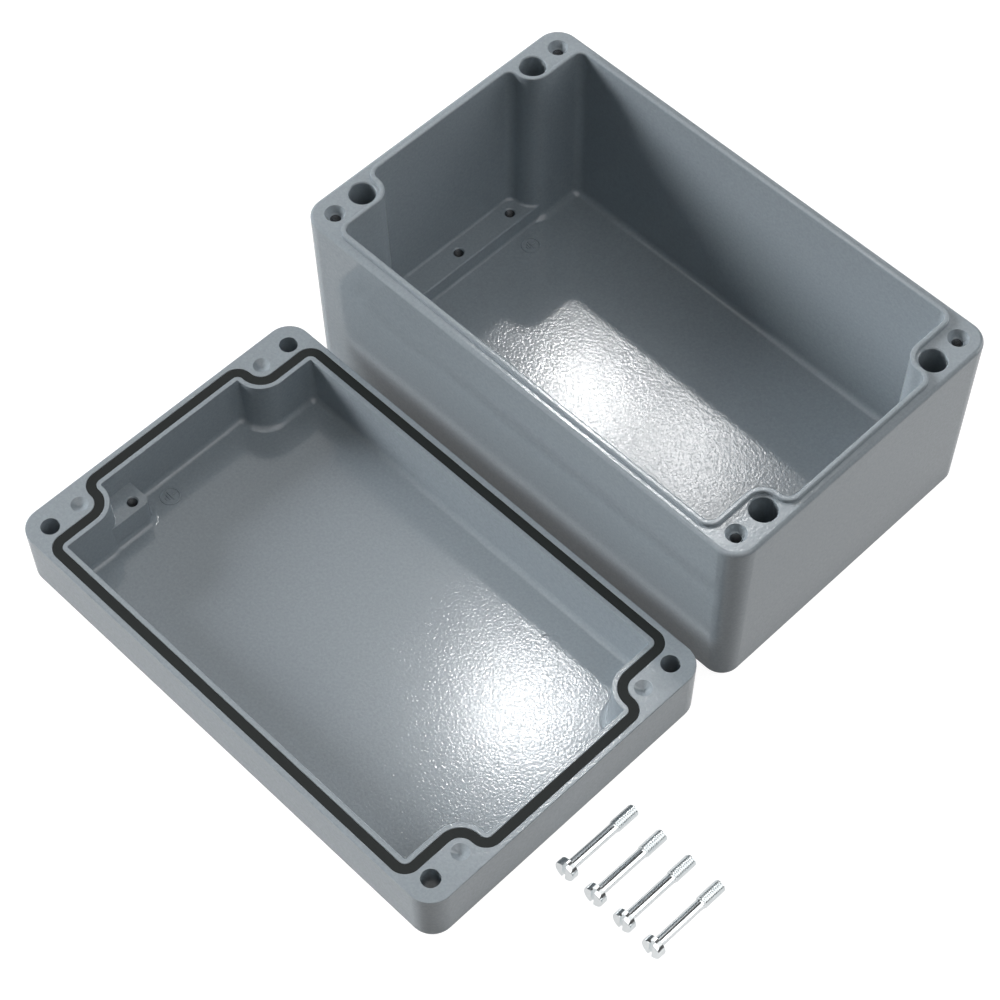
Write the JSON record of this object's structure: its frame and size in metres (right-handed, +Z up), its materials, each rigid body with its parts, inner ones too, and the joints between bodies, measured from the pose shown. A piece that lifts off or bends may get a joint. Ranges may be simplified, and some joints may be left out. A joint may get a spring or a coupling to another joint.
{
  "type": "die cast aluminium enclosure",
  "caption": "Rectangular die cast aluminium box, open: base with sealing tongue and corner screw bosses, deep lid with gasket groove, and slotted lid screws lying beside it.",
  "frame": {"origin": "centre of the foot of the base, on the floor", "axes": "+X along the length of the base, +Y away from the lid, +Z up, out of the mouth of the base"},
  "size_m": [0.3298, 0.335, 0.099],
  "materials": {
    "casting": "silver grey powder coat with a light orange peel",
    "gasket": "matte black",
    "screw": "bright zinc plated"
  },
  "bodies": {
    "root": {"base": "casting", "lid": "casting", "gasket": "gasket", "lid_screw_1": "screw", "lid_screw_2": "screw", "lid_screw_3": "screw", "lid_screw_4": "screw"}
  },
  "joints": []
}
